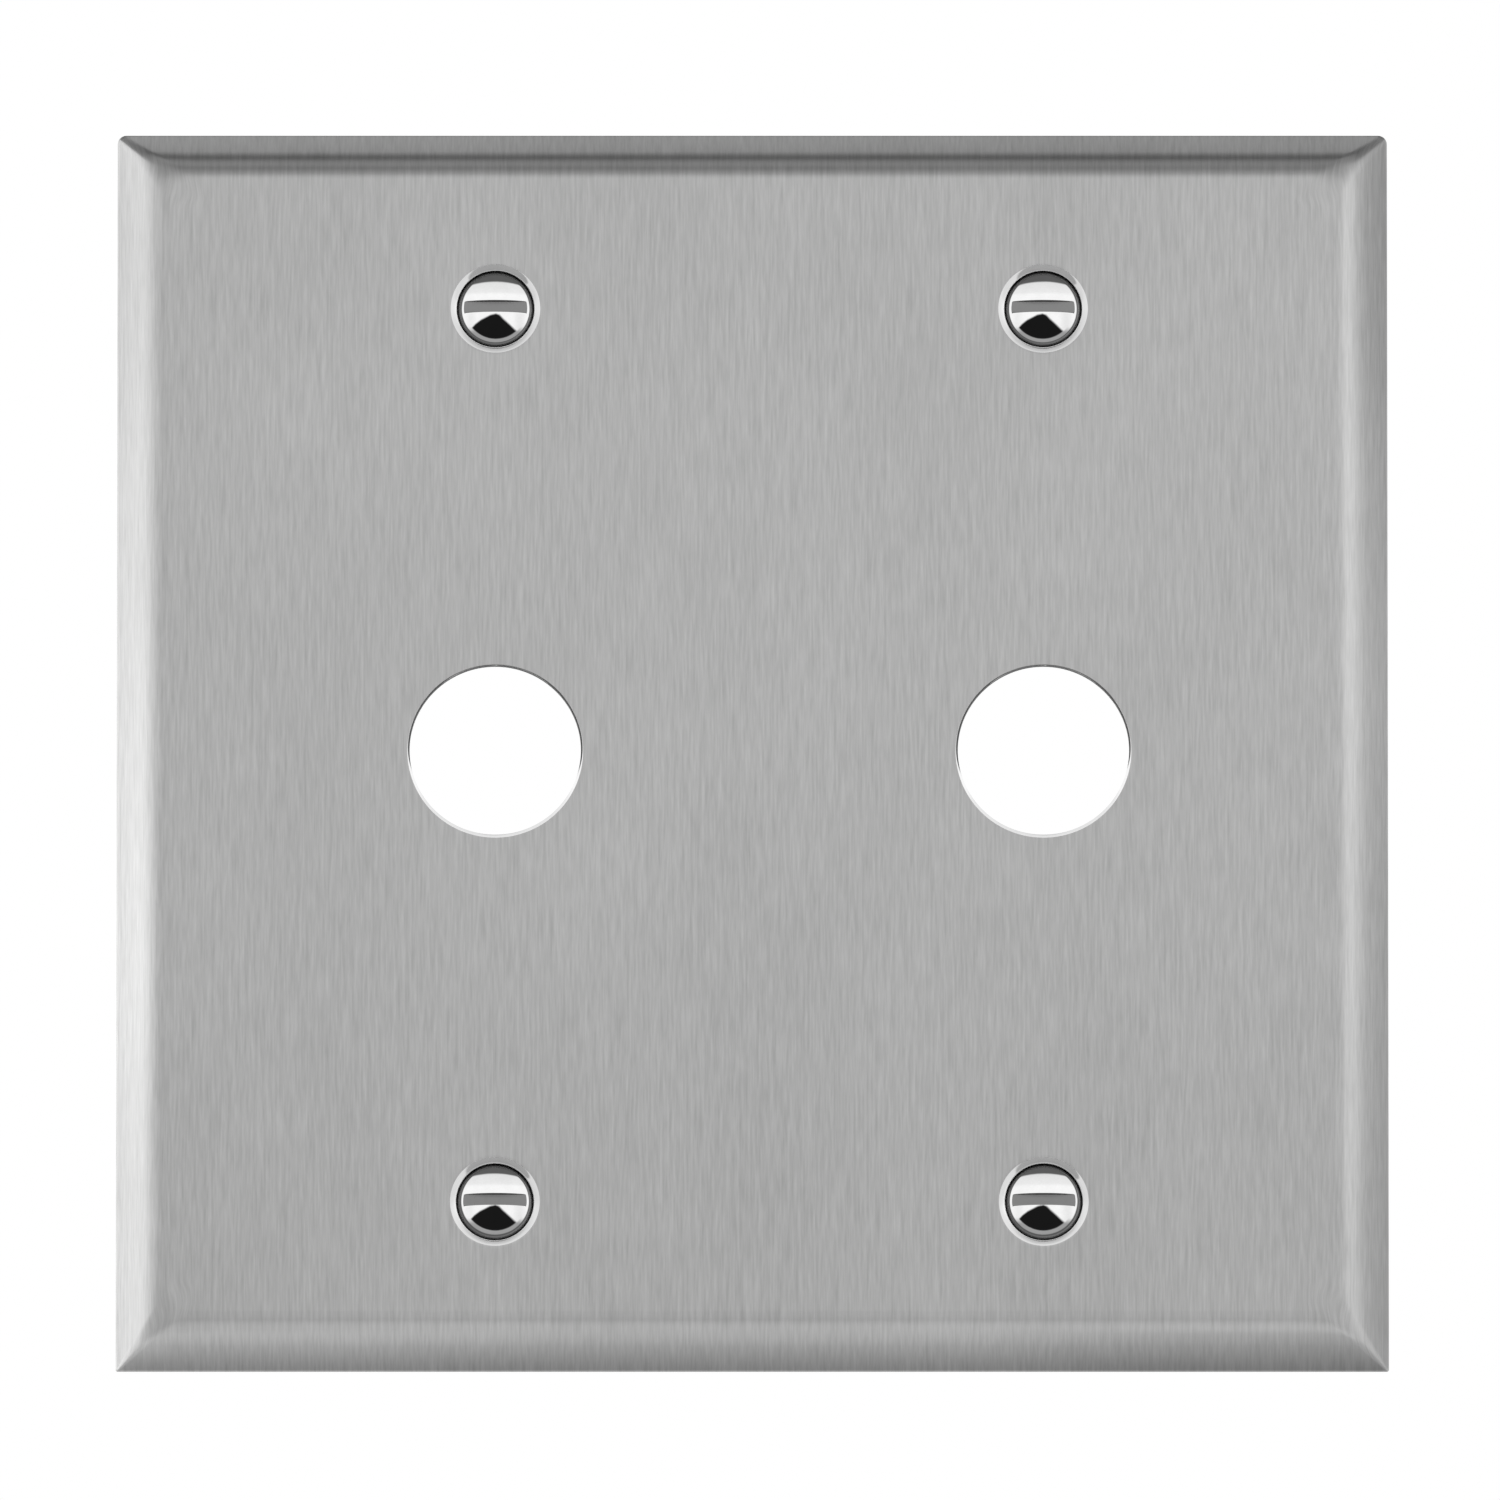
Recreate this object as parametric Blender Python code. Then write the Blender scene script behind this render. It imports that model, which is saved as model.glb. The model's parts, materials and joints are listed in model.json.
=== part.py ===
"""Two-gang stainless wall plate with two cable holes, four captive oval-head screws.

Frame: metres, +Z up, +X to the right as seen from the room. The plate faces -Y.
The origin is the centre of the plate on the wall surface, so the wall plane is y = 0
and everything in front of the wall has a negative y.
"""

import math

import bmesh
import bpy
from mathutils import Vector
from mathutils.geometry import delaunay_2d_cdt

MM = 0.001

# ---- plate ---------------------------------------------------------------
PLATE_W = 115.8 * MM            # overall width, two gang
PLATE_H = 114.3 * MM            # overall height, 4.5 in
SHEET = 0.80 * MM               # sheet thickness
SLOPE_ANGLE = math.radians(57.6)  # bevel wall, measured from the face plane
SLOPE_WIDTH = 2.35 * MM         # straight part of the bevel, seen from the front
BEND_R = 2.55 * MM              # outside radius of the bend between bevel and face
RIM_CORNER_R = (0.45 * MM, 0.45 * MM, 0.20 * MM, 0.20 * MM)  # top right, top left, bottom left, bottom right
FACE_CORNER_R = 1.20 * MM       # corner radius where the bend meets the flat face
INSIDE_CORNER_R = 0.30 * MM     # the same corners on the hidden side
CORNER_SEGMENTS = 4
BEND_SEGMENTS = 5

# ---- face pattern --------------------------------------------------------
COLUMN_X = (-23.4 * MM, 26.5 * MM)   # the two gangs, left and right
HOLE_Z = -0.7 * MM                   # centre height of both cable holes
SCREW_MID_Z = -1.0 * MM              # halfway between the upper and lower screws
SCREW_SPACING = 82.5 * MM            # upper to lower screw
HOLE_R = 15.875 * MM / 2             # 5/8 in cable hole
HOLE_ROLL_W = 0.42 * MM              # rolled-over front edge of the punched hole, across
HOLE_ROLL_D = 0.18 * MM              # and into the sheet
HOLE_BACK_BREAK = 0.10 * MM
HOLE_SEGMENTS = 56

# ---- formed countersinks -------------------------------------------------
COUNTERSINK = math.radians(82 / 2)   # half angle from the screw axis
SEAT_GAP = 0.20 * MM                 # between the head's cone and the seat
LIP_R = 0.50 * MM                    # rolled lip at the face
SEAT_BORE_R = 2.00 * MM              # bottom of the seat
SEAT_SEGMENTS = 36
LIP_SEGMENTS = 3

# ---- #6-32 slotted oval-head screw --------------------------------------
HEAD_R = 6.90 * MM / 2
HEAD_SUNK = 0.35 * MM                # rim of the head below the face
HEAD_RIM = 0.18 * MM                 # thin cylindrical edge of the head
DOME_H = 1.12 * MM
SLOT_W = 1.10 * MM
SLOT_D = 0.76 * MM
THREAD_R = 3.50 * MM / 2
THREAD_ROOT_R = 2.68 * MM / 2
PITCH = 25.4 * MM / 32
THREAD_TURNS = 21
TIP_BREAK = 0.30 * MM
HEAD_SEGMENTS = 36
THREAD_SEGMENTS = 12
DOME_SEGMENTS = 4

# ---- retaining washer ----------------------------------------------------
WASHER_R = 6.80 * MM / 2
WASHER_BORE_R = THREAD_R + 0.15 * MM
WASHER_T = 1.00 * MM
WASHER_EDGE = 0.15 * MM
TURNS_OUT = 5.25                     # turns before the washer meets the seat
TRAVEL = TURNS_OUT * PITCH
WASHER_SEGMENTS = 24

BEND_W = BEND_R * math.sin(SLOPE_ANGLE)
BEND_H = BEND_R * (1 - math.cos(SLOPE_ANGLE))
SLOPE_H = SLOPE_WIDTH * math.tan(SLOPE_ANGLE)
FACE = SLOPE_H + BEND_H              # distance from the wall to the front face
CONE_SLOPE = math.tan(COUNTERSINK)   # radius lost per unit of depth

for old in list(bpy.data.objects):
    bpy.data.objects.remove(old, do_unlink=True)


# ---- helpers -------------------------------------------------------------
class Shell:
    """Collects rings of points and the faces between them."""

    def __init__(self):
        self.points = []
        self.faces = []

    def ring(self, points):
        start = len(self.points)
        self.points += [Vector(p) for p in points]
        return list(range(start, len(self.points)))

    def bridge(self, a, b):
        for i in range(len(a)):
            j = (i + 1) % len(a)
            self.faces.append((a[i], a[j], b[j], b[i]))

    def strip(self, rings):
        for a, b in zip(rings, rings[1:]):
            self.bridge(a, b)

    def fill(self, outline, holes):
        """Flat fill inside outline, leaving each (ring, centre, radius) open."""
        rings = [outline] + [h[0] for h in holes]
        order = [i for ring in rings for i in ring]
        flat = [Vector((self.points[i].x, self.points[i].z)) / MM for i in order]
        edges, start = [], 0
        for ring in rings:
            n = len(ring)
            edges += [(start + k, start + (k + 1) % n) for k in range(n)]
            start += n
        _, _, tris, kept, _, _ = delaunay_2d_cdt(flat, edges, [], 1, 1e-6)
        for tri in tris:
            ids = [order[kept[v][0]] for v in tri]
            mid = sum((self.points[i] for i in ids), Vector()) / 3
            if all(math.hypot(mid.x - c[0], mid.z - c[1]) > r * 0.9999 for _, c, r in holes):
                self.faces.append(tuple(ids))

    def mesh(self, name, smooth_angle=35.0):
        bm = bmesh.new()
        made = [bm.verts.new(p) for p in self.points]
        for face in self.faces:
            ids = list(dict.fromkeys(face))
            if len(ids) > 2:
                try:
                    bm.faces.new([made[i] for i in ids])
                except ValueError:
                    pass
        bmesh.ops.remove_doubles(bm, verts=bm.verts, dist=2e-7)
        bmesh.ops.dissolve_degenerate(bm, edges=bm.edges, dist=1e-7)
        bmesh.ops.recalc_face_normals(bm, faces=bm.faces)
        mesh = bpy.data.meshes.new(name)
        bm.to_mesh(mesh)
        bm.free()
        mesh.shade_smooth()
        mesh.set_sharp_from_angle(angle=math.radians(smooth_angle))
        return mesh


def circle(cx, cz, radius, y, count, turn=0.0):
    step = 2 * math.pi / count
    return [
        (cx + radius * math.sin(turn + k * step), y, cz + radius * math.cos(turn + k * step))
        for k in range(count)
    ]


def rounded_outline(inset, radii, y):
    """A rectangle of the plate's size less inset, anticlockwise from the top right."""
    w, h = PLATE_W / 2 - inset, PLATE_H / 2 - inset
    points = []
    for (sx, sz), start, r in zip(
        ((1, 1), (-1, 1), (-1, -1), (1, -1)), (0.0, 0.5, 1.0, 1.5), radii
    ):
        for k in range(CORNER_SEGMENTS + 1):
            a = math.pi * (start + 0.5 * k / CORNER_SEGMENTS)
            points.append(
                (sx * (w - r) + r * math.cos(a), y, sz * (h - r) + r * math.sin(a))
            )
    return points


def material(name, colour, metallic, roughness):
    made = bpy.data.materials.new(name)
    made.use_nodes = True
    shader = made.node_tree.nodes["Principled BSDF"]
    shader.inputs["Base Color"].default_value = (*colour, 1.0)
    shader.inputs["Metallic"].default_value = metallic
    shader.inputs["Roughness"].default_value = roughness
    made.diffuse_color = (*colour, 1.0)
    return made


def place(name, mesh, finish, location=(0, 0, 0), parent=None):
    obj = bpy.data.objects.new(name, mesh)
    bpy.context.scene.collection.objects.link(obj)
    if not mesh.materials:
        mesh.materials.append(finish)
    obj.location = location
    obj.parent = parent
    return obj


def empty(name, location=(0, 0, 0), parent=None):
    obj = bpy.data.objects.new(name, None)
    obj.empty_display_size = 0.01
    bpy.context.scene.collection.objects.link(obj)
    obj.location = location
    obj.parent = parent
    return obj


# ---- plate ---------------------------------------------------------------
def bevel_profile(inner):
    """(inset, distance from the wall) up the bevel, outside or inside."""
    offset = SHEET if inner else 0.0
    n_in, n_out = math.sin(SLOPE_ANGLE), math.cos(SLOPE_ANGLE)
    foot = offset / n_in
    knee = (SLOPE_WIDTH + offset * n_in, SLOPE_H - offset * n_out)
    centre = (SLOPE_WIDTH + BEND_R * n_in, SLOPE_H - BEND_R * n_out)
    radius = BEND_R - offset
    points = [(foot, 0.0), knee]
    for k in range(1, BEND_SEGMENTS + 1):
        a = SLOPE_ANGLE * (1 - k / BEND_SEGMENTS)
        points.append(
            (centre[0] - radius * math.sin(a), centre[1] + radius * math.cos(a))
        )
    return points


def seat_radius(depth):
    """Radius of the countersink's seat at a depth below the face."""
    return HEAD_R + SEAT_GAP / math.cos(COUNTERSINK) - (depth - HEAD_SUNK - HEAD_RIM) * CONE_SLOPE


def seat_profile():
    """(radius, depth) from the face, down the seat, and up its hidden side."""
    wall = math.pi / 2 - COUNTERSINK  # wall's angle from the face plane
    lip = seat_radius(0.0) + LIP_R * math.tan(wall / 2)
    points = []
    for k in range(LIP_SEGMENTS + 1):
        a = wall * k / LIP_SEGMENTS
        points.append((lip - LIP_R * math.sin(a), LIP_R * (1 - math.cos(a))))
    bottom = HEAD_SUNK + HEAD_RIM + (seat_radius(HEAD_SUNK + HEAD_RIM) - SEAT_BORE_R) / CONE_SLOPE
    points.append((SEAT_BORE_R, bottom))
    back_r = SEAT_BORE_R + SHEET * math.cos(COUNTERSINK)
    back_d = bottom + SHEET * math.sin(COUNTERSINK)
    points.append((back_r, back_d))
    points.append((back_r + (back_d - SHEET) * CONE_SLOPE, SHEET))
    return points


def hole_profile():
    points = []
    for k in range(4):
        a = math.pi / 2 * k / 3
        points.append(
            (HOLE_R + HOLE_ROLL_W * (1 - math.sin(a)), HOLE_ROLL_D * (1 - math.cos(a)))
        )
    points += [(HOLE_R, SHEET - HOLE_BACK_BREAK), (HOLE_R + HOLE_BACK_BREAK, SHEET)]
    return points


def plate_mesh():
    shell = Shell()
    outer_points, inner_points = bevel_profile(False), bevel_profile(True)
    full = outer_points[-1][0]
    outer = [
        shell.ring(
            rounded_outline(
                u, [r + (FACE_CORNER_R - r) * u / full for r in RIM_CORNER_R], -d
            )
        )
        for u, d in outer_points
    ]
    inner = [
        shell.ring(rounded_outline(u, [INSIDE_CORNER_R] * 4, -d)) for u, d in inner_points
    ]
    shell.strip(outer)
    shell.strip(inner)
    shell.bridge(outer[0], inner[0])
    front, back = [], []
    sites = [(x, HOLE_Z, hole_profile(), HOLE_SEGMENTS) for x in COLUMN_X]
    sites += [
        (x, SCREW_MID_Z + side * SCREW_SPACING / 2, seat_profile(), SEAT_SEGMENTS)
        for x in COLUMN_X
        for side in (1, -1)
    ]
    for x, z, profile, count in sites:
        rings = [shell.ring(circle(x, z, r, -FACE + d, count)) for r, d in profile]
        shell.strip(rings)
        front.append((rings[0], (x, z), profile[0][0]))
        back.append((rings[-1], (x, z), profile[-1][0]))
    shell.fill(outer[-1], front)
    shell.fill(inner[-1], back)
    return shell.mesh("wall_plate", 30.0)


# ---- screw, in its own frame: origin on its axis, level with the plate's face
def screw_mesh():
    shell = Shell()
    cone_top = HEAD_SUNK + HEAD_RIM
    shank_top = cone_top + (HEAD_R - THREAD_R) / CONE_SLOPE
    dome_r = (HEAD_R**2 + DOME_H**2) / (2 * DOME_H)
    spread = math.asin(HEAD_R / dome_r)
    crown_y = HEAD_SUNK - DOME_H
    crown = shell.ring([(0, crown_y, 0)])[0]
    rings = []
    for k in range(1, DOME_SEGMENTS + 1):
        a = spread * k / DOME_SEGMENTS
        rings.append(
            shell.ring(
                circle(0, 0, dome_r * math.sin(a), crown_y + dome_r * (1 - math.cos(a)), HEAD_SEGMENTS)
            )
        )
    for k in range(HEAD_SEGMENTS):
        shell.faces.append((crown, rings[0][k], rings[0][(k + 1) % HEAD_SEGMENTS]))
    rings.append(shell.ring(circle(0, 0, HEAD_R, cone_top, HEAD_SEGMENTS)))
    rings.append(shell.ring(circle(0, 0, THREAD_R, shank_top, HEAD_SEGMENTS)))
    shell.strip(rings)

    # Right-hand 60 degree thread: root and crest lines, cut square at both ends.
    n, turns = THREAD_SEGMENTS, THREAD_TURNS
    length = turns * PITCH
    start_y = shank_top + 0.10 * MM

    def on_helix(k, radius, y):
        a = 2 * math.pi * k / n
        return (radius * math.sin(a), start_y + y, radius * math.cos(a))

    def crest(k):
        s = k / n
        raw = (s + 0.5) * PITCH
        r = THREAD_R
        if raw < 0:
            r = THREAD_ROOT_R + (THREAD_R - THREAD_ROOT_R) * (s + 1) * 2
        if raw > length:
            r = THREAD_ROOT_R + (THREAD_R - THREAD_ROOT_R) * (length - s * PITCH) / (PITCH / 2)
        y = min(max(raw, 0.0), length)
        r = min(r, THREAD_R - TIP_BREAK + (length - y))
        return on_helix(k, max(r, THREAD_ROOT_R), y)

    def root(k):
        return on_helix(k, THREAD_ROOT_R, min(max(k / n * PITCH, 0.0), length))

    first, last = -n, turns * n
    roots = shell.ring([root(k) for k in range(first, last + n + 1)])
    crests = shell.ring([crest(k) for k in range(first, last + 1)])
    for k in range(last - first):
        shell.faces.append((roots[k], roots[k + 1], crests[k + 1], crests[k]))
        shell.faces.append((crests[k], crests[k + 1], roots[k + 1 + n], roots[k + n]))
    # The under-head ring narrows to the thread's root, three points to one.
    under = rings[-1]
    ratio = HEAD_SEGMENTS // n
    for k in range(n):
        a, b = roots[k], roots[(k + 1)]
        for m in range(ratio):
            shell.faces.append((under[(k * ratio + m) % HEAD_SEGMENTS], under[(k * ratio + m + 1) % HEAD_SEGMENTS], a))
        shell.faces.append((under[((k + 1) * ratio) % HEAD_SEGMENTS], b, a))
    tip = shell.ring([(0, start_y + length, 0)])[0]
    end = roots[-n - 1:]
    for k in range(n):
        shell.faces.append((end[k], end[k + 1], tip))
    return shell.mesh("oval_head_screw", 32.0)


def washer_mesh():
    shell = Shell()
    e, t = WASHER_EDGE, WASHER_T
    profile = [
        (WASHER_BORE_R, 0.0), (WASHER_R - e, 0.0), (WASHER_R, e),
        (WASHER_R, t - e), (WASHER_R - e, t), (WASHER_BORE_R, t),
    ]
    rings = [shell.ring(circle(0, 0, r, y, WASHER_SEGMENTS)) for r, y in profile]
    shell.strip(rings + rings[:1])
    return shell.mesh("retaining_washer", 50.0)


brushed = material("brushed_stainless", (0.62, 0.62, 0.615), 1.0, 0.34)
chrome = material("polished_chrome", (0.80, 0.80, 0.81), 1.0, 0.08)
nylon = material("natural_nylon", (0.86, 0.85, 0.80), 0.0, 0.45)

root_empty = empty("wall_plate_frame")
place("wall_plate", plate_mesh(), brushed, parent=root_empty)

screw = screw_mesh()
washer = washer_mesh()

# The driver slot, cut across the dome along X.
slot = bpy.data.meshes.new("driver_slot")
bm = bmesh.new()
bmesh.ops.create_cube(bm, size=1.0)
bmesh.ops.scale(bm, vec=(HEAD_R * 3, SLOT_D * 2, SLOT_W), verts=bm.verts)
bm.to_mesh(slot)
bm.free()

seat = seat_profile()
seat_back = max(d for _, d in seat)
washer_y = -FACE + seat_back + 0.30 * MM + TRAVEL

for row, side in (("top", 1), ("bottom", -1)):
    for column, x in zip(("left", "right"), COLUMN_X):
        tag = f"{row}_{column}"
        z = SCREW_MID_Z + side * SCREW_SPACING / 2
        axis = empty(f"screw_axis_{tag}", (x, -FACE, z), root_empty)
        turned = place(f"screw_{tag}", screw.copy(), chrome, parent=axis)
        cutter = place(f"slot_cutter_{tag}", slot, chrome, (0, HEAD_SUNK - DOME_H, 0), axis)
        cutter.hide_render = True
        cutter.display_type = "WIRE"
        cut = turned.modifiers.new("driver_slot", "BOOLEAN")
        cut.operation = "DIFFERENCE"
        cut.solver = "EXACT"
        cut.object = cutter
        place(f"washer_{tag}", washer, nylon, (0, washer_y + FACE, 0), axis)
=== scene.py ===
"""Looks for the two-gang brushed stainless wall plate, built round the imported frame.

Everything is in metres in the frame's own axes: +Z up, +X right seen from the room, the
plate faces -Y and the wall plane is y = 0.
"""

import json
import math

import bmesh
import bpy
import numpy as np
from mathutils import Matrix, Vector
from mathutils.geometry import delaunay_2d_cdt


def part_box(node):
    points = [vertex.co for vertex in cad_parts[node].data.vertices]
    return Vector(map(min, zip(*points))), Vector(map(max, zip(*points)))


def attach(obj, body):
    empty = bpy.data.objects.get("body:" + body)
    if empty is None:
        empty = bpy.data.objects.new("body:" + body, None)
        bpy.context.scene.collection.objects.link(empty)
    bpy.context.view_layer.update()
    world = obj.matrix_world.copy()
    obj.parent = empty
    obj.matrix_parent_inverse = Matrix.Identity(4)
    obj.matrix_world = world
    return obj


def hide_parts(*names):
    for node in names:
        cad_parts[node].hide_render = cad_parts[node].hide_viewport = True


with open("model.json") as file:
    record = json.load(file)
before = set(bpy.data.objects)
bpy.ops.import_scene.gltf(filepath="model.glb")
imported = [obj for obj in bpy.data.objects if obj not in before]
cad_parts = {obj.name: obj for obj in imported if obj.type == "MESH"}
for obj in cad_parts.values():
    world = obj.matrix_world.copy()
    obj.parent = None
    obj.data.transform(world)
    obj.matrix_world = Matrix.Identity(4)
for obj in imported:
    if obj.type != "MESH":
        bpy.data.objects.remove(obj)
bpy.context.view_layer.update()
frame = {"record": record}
record = frame["record"]

MM = 0.001

# --------------------------------------------------------------------------
# sizes: overall ones are read from the CAD nodes, the finer ones repeat part.py
# --------------------------------------------------------------------------
plate_lo, plate_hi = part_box("wall_plate")
PLATE_W = plate_hi.x - plate_lo.x
PLATE_H = plate_hi.z - plate_lo.z
FACE = -plate_lo.y
SHEET = 0.80 * MM
RIM_CORNER_R = (0.80 * MM, 0.80 * MM, 0.20 * MM, 0.20 * MM)
FACE_CORNER_R = 2.30 * MM
INSIDE_CORNER_R = 0.30 * MM

HOLE_BACK_BREAK = 0.10 * MM

COUNTERSINK = math.radians(41)
SEAT_GAP = 0.06 * MM
SEAT_BORE_R = 2.00 * MM

HEAD_R = 6.90 * MM / 2
HEAD_SUNK = 0.35 * MM
HEAD_RIM = 0.18 * MM
DOME_H = 1.12 * MM
SLOT_W = 1.10 * MM
SLOT_UP = 0.12 * MM                   # the slots are milled a little above the middle
SLOT_D = 0.76 * MM
THREAD_R = 3.50 * MM / 2
THREAD_ROOT_R = 2.68 * MM / 2
PITCH = 25.4 * MM / 32
THREAD_TURNS = 21
TIP_BREAK = 0.30 * MM

CONE_SLOPE = math.tan(COUNTERSINK)
SITES = ("top_left", "top_right", "bottom_left", "bottom_right")


def centre_of(node):
    lo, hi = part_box(node)
    return (lo + hi) / 2


SCREW_AT = {}
for tag in SITES:
    c = centre_of(f"screw_{tag}")
    SCREW_AT[tag] = (c.x, c.z)
HOLE_AT = []
for opening in record["physics"]["openings"]:
    if opening["name"].startswith("cable_hole"):
        (x0, _, z0), (x1, _, z1) = opening["box_m"]
        HOLE_AT.append(((x0 + x1) / 2, (z0 + z1) / 2))


# --------------------------------------------------------------------------
# mesh building
# --------------------------------------------------------------------------
class Shell:
    """Rings of points with a flat-pattern coordinate each, and the faces between them."""

    def __init__(self):
        self.points, self.uv, self.faces, self.finish = [], [], [], []

    def ring(self, points, uv=None):
        start = len(self.points)
        self.points += [Vector(p) for p in points]
        self.uv += list(uv) if uv is not None else [(p[0], p[2]) for p in points]
        return list(range(start, len(self.points)))

    def face(self, ids, finish=0):
        ids = tuple(dict.fromkeys(ids))
        if len(ids) > 2:
            self.faces.append(ids)
            self.finish.append(finish)

    def bridge(self, a, b, finish=0):
        for i in range(len(a)):
            j = (i + 1) % len(a)
            self.face((a[i], a[j], b[j], b[i]), finish)

    def strip(self, rings, finish=0):
        for a, b in zip(rings, rings[1:]):
            self.bridge(a, b, finish)

    def fill(self, outline, holes, extra=(), finish=0):
        """Flat fill between outline and holes through extra inner points, (x, z) each."""
        rings = [outline] + [h[0] for h in holes]
        y = self.points[outline[0]].y
        order = [i for ring in rings for i in ring]
        order += self.ring([(x, y, z) for x, z in extra]) if len(extra) else []
        flat = [Vector((self.points[i].x, self.points[i].z)) / MM for i in order]
        edges, start = [], 0
        for ring in rings:
            n = len(ring)
            edges += [(start + k, start + (k + 1) % n) for k in range(n)]
            start += n
        _, _, tris, kept, _, _ = delaunay_2d_cdt(flat, edges, [], 1, 1e-6)
        for tri in tris:
            ids = [order[kept[v][0]] for v in tri]
            mid = sum((self.points[i] for i in ids), Vector()) / 3
            if all(math.hypot(mid.x - c[0], mid.z - c[1]) > r * 0.99995 for _, c, r in holes):
                self.face(ids, finish)

    def build(self, name, materials, smooth_angle=38.0):
        """A closed mesh object with outward normals, a UV map in metres and smooth shading."""
        bm = bmesh.new()
        layer = bm.loops.layers.uv.new("flat_pattern")
        made = [bm.verts.new(p) for p in self.points]
        where = {v: uv for v, uv in zip(made, self.uv)}
        for ids, finish in zip(self.faces, self.finish):
            try:
                f = bm.faces.new([made[i] for i in ids])
            except ValueError:
                continue
            f.material_index = finish
            for loop in f.loops:
                loop[layer].uv = where[loop.vert]
        bmesh.ops.remove_doubles(bm, verts=bm.verts, dist=3e-7)
        bmesh.ops.dissolve_degenerate(bm, edges=bm.edges, dist=2e-7)
        loose = [v for v in bm.verts if not v.link_faces]
        bmesh.ops.delete(bm, geom=loose, context="VERTS")
        bmesh.ops.recalc_face_normals(bm, faces=bm.faces)
        if bm.calc_volume(signed=True) < 0:
            bmesh.ops.reverse_faces(bm, faces=bm.faces)
        mesh = bpy.data.meshes.new(name)
        bm.to_mesh(mesh)
        bm.free()
        for m in materials:
            mesh.materials.append(m)
        mesh.shade_smooth()
        mesh.set_sharp_from_angle(angle=math.radians(smooth_angle))
        obj = bpy.data.objects.new(name, mesh)
        bpy.context.scene.collection.objects.link(obj)
        return obj


def circle(cx, cz, radius, y, count):
    step = 2 * math.pi / count
    return [(cx + radius * math.sin(k * step), y, cz + radius * math.cos(k * step)) for k in range(count)]


# --------------------------------------------------------------------------
# plate
# --------------------------------------------------------------------------
CORNER_STEPS = 10
EDGE_STEP = 2.4 * MM


def outline(inset, radii, y, arc):
    """Rounded rectangle with straight sides in short steps, and its flat pattern: a side's
    brushing runs on from the face, at arc along the sheet from the face's edge."""
    w, h = PLATE_W / 2 - inset, PLATE_H / 2 - inset
    reach_w, reach_h = PLATE_W / 2 - BEVEL_W + arc, PLATE_H / 2 - BEVEL_W + arc
    nx, nz = round(PLATE_W / EDGE_STEP), round(PLATE_H / EDGE_STEP)
    points, uv = [], []
    corners = ((1, 1), (-1, 1), (-1, -1), (1, -1))
    for q, ((sx, sz), r) in enumerate(zip(corners, radii)):
        for k in range(CORNER_STEPS + 1):
            t = k / CORNER_STEPS
            a = math.pi / 2 * (q + t)
            c, s = math.cos(a), math.sin(a)
            x, z = sx * (w - r) + r * c, sz * (h - r) + r * s
            points.append((x, y, z))
            side = 1 - t if q in (0, 2) else t          # 1 on the left and right sides
            side = side * side * (3 - 2 * side)
            uv.append((side * sx * reach_w + (1 - side) * x, side * z + (1 - side) * sz * reach_h))
        here, here_uv = points[-1], uv[-1]
        q2 = (q + 1) % 4
        (tx, tz), r2 = corners[q2], radii[q2]
        a = math.pi / 2 * q2
        c, s = math.cos(a), math.sin(a)
        there = (tx * (w - r2) + r2 * c, y, tz * (h - r2) + r2 * s)
        n = nx if q in (0, 2) else nz
        for k in range(1, n):
            t = k / n
            p = tuple(here[i] * (1 - t) + there[i] * t for i in range(3))
            points.append(p)
            uv.append((p[0], here_uv[1]) if q in (0, 2) else (here_uv[0], p[2]))
    return points, uv


# the bevel's slope in degrees against distance along the sheet from the flat face: it turns
# quickest beside the face and is still very slightly convex at the rim
BEVEL_TURN = ((0.0, 0), (1.06, 31), (1.703, 39), (2.609, 47), (3.716, 54), (7.10, 56))


def trace_bevel():
    """(distance from the face, inset of the face's edge so far, drop, angle) along the sheet."""
    rows, s, out, drop, step = [(0.0, 0.0, 0.0, 0.0)], 0.0, 0.0, 0.0, 0.002
    while drop * MM < FACE:
        angle = math.radians(curve_straight(s + step / 2, BEVEL_TURN))
        s, out, drop = s + step, out + step * math.cos(angle), drop + step * math.sin(angle)
        rows.append((s * MM, out * MM, drop * MM, angle))
    return rows


def curve_straight(x, knots):
    for (x0, v0), (x1, v1) in zip(knots, knots[1:]):
        if x <= x1:
            return v0 + (v1 - v0) * (x - x0) / (x1 - x0)
    return knots[-1][1]


BEVEL = trace_bevel()
BEVEL_W = BEVEL[-1][1]
BEVEL_S = BEVEL[-1][0]


def bevel_profile(inner):
    """(inset from the rim, height over the wall, distance along the sheet) from rim to face."""
    stops = [BEVEL_S * k / 46 for k in range(47)]
    points = []
    for want in reversed(stops):
        s, out, drop, angle = min(BEVEL, key=lambda row: abs(row[0] - want))
        inset, height = BEVEL_W - out, FACE - drop
        if inner:
            inset, height = inset + SHEET * math.sin(angle), height - SHEET * math.cos(angle)
        points.append((inset, height, s))
    if inner:
        above = [p for p in points if p[1] > 0.05 * MM]
        first, second = above[0], above[1]
        t = first[1] / (second[1] - first[1])
        foot = (first[0] - (second[0] - first[0]) * t, 0.0, first[2])
        return [foot] + above
    ease = 0.06 * MM                      # the cut edge is very slightly eased
    points[0] = (points[0][0], ease, points[0][2])
    return [(points[0][0] + ease, 0.0, points[0][2])] + points


def seat_radius(depth):
    return HEAD_R + SEAT_GAP / math.cos(COUNTERSINK) - (depth - HEAD_SUNK - HEAD_RIM) * CONE_SLOPE


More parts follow.
